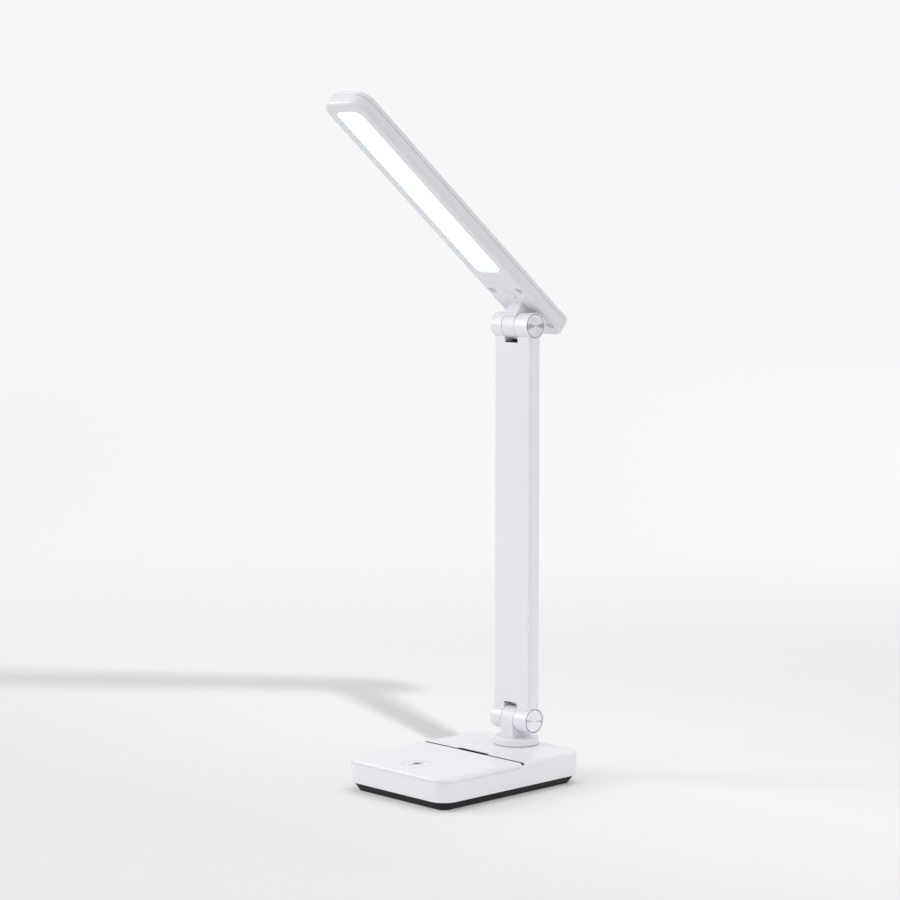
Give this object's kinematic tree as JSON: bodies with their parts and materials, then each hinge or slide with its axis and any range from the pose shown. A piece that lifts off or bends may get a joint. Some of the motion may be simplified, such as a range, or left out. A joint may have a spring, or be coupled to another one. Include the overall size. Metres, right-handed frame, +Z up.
{
  "type": "folding led desk lamp",
  "caption": "Folding LED desk lamp: flat oblong base with lift-up charging plate, turntable, flat folding arm and slim folding light head.",
  "frame": {"origin": "centre of the base's footprint, on the table", "axes": "+Z up, front (the side of the charging plate and the light) is -Y, X runs across the base"},
  "size_m": [0.092, 0.1841, 0.4399],
  "materials": {
    "white_shell": "glossy white",
    "white_trim": "satin white",
    "black_plastic": "matt black",
    "rubber": "matt",
    "spun_metal": "spun, fine rings",
    "steel": "turned",
    "copper": "enamelled wire",
    "ferrite": "sintered",
    "circuit_board": "solder mask",
    "cell_wrap": "shrink sleeve",
    "diffuser": "opal, lit",
    "light_chip": "phosphor",
    "print": "matt inlay"
  },
  "bodies": {
    "base": {"sole_pad": "rubber", "bottom_tray": "black_plastic", "base_case": "white_shell", "case_screws": "steel", "charge_deck": "black_plastic", "deck_screws": "steel", "ballast_plate": "steel", "battery_pack": "cell_wrap", "main_board": "circuit_board", "board_screws": "steel", "charging_socket": "steel", "glide_ring": "black_plastic"},
    "charging_plate": {"charge_plate": "white_shell", "charge_coil": "copper", "ferrite_sheet": "ferrite", "coil_cover": "black_plastic", "charge_mark": "print", "plate_hinge_pins": "steel"},
    "turntable": {"turntable_collar": "white_shell", "hinge_post": "white_trim", "swivel_washer": "steel", "swivel_nut": "steel"},
    "arm": {"arm_rear_shell": "white_shell", "arm_front_shell": "white_shell", "lower_hinge_pin": "steel", "upper_hinge_pin": "steel", "friction_washers": "steel", "hinge_caps": "spun_metal", "notch_liners": "black_plastic", "arm_cable": "white_trim"},
    "head": {"head_bracket": "white_trim", "head_housing": "white_shell", "head_cover": "white_shell", "lit_panel": "diffuser", "light_board": "steel", "light_chips": "light_chip", "head_screws": "steel", "button_switch": "black_plastic"},
    "button": {"power_button": "white_trim"}
  },
  "joints": [
    {"name": "plate_lift", "type": "hinge", "parent": "base", "child": "charging_plate", "pos_m": [0, -0.0603, 0.0188], "axis": [1, 0, 0], "range_deg": [0, 60]},
    {"name": "base_swivel", "type": "hinge", "parent": "base", "child": "turntable", "pos_m": [0, 0.0474, 0.021], "axis": [0, 0, 1], "range_deg": [-90, 90]},
    {"name": "lower_fold", "type": "hinge", "parent": "turntable", "child": "arm", "pos_m": [0, 0.0474, 0.0377], "axis": [1, 0, 0], "range_deg": [-90, 84]},
    {"name": "head_tilt", "type": "hinge", "parent": "arm", "child": "head", "pos_m": [0, 0.0474, 0.2947], "axis": [1, 0, 0], "range_deg": [-50, 129]},
    {"name": "power_press", "type": "slide", "parent": "head", "child": "button", "axis": [0, 0.6293, 0.7771], "range_m": [0, 0.0004], "stiffness_N_per_m": 600}
  ]
}
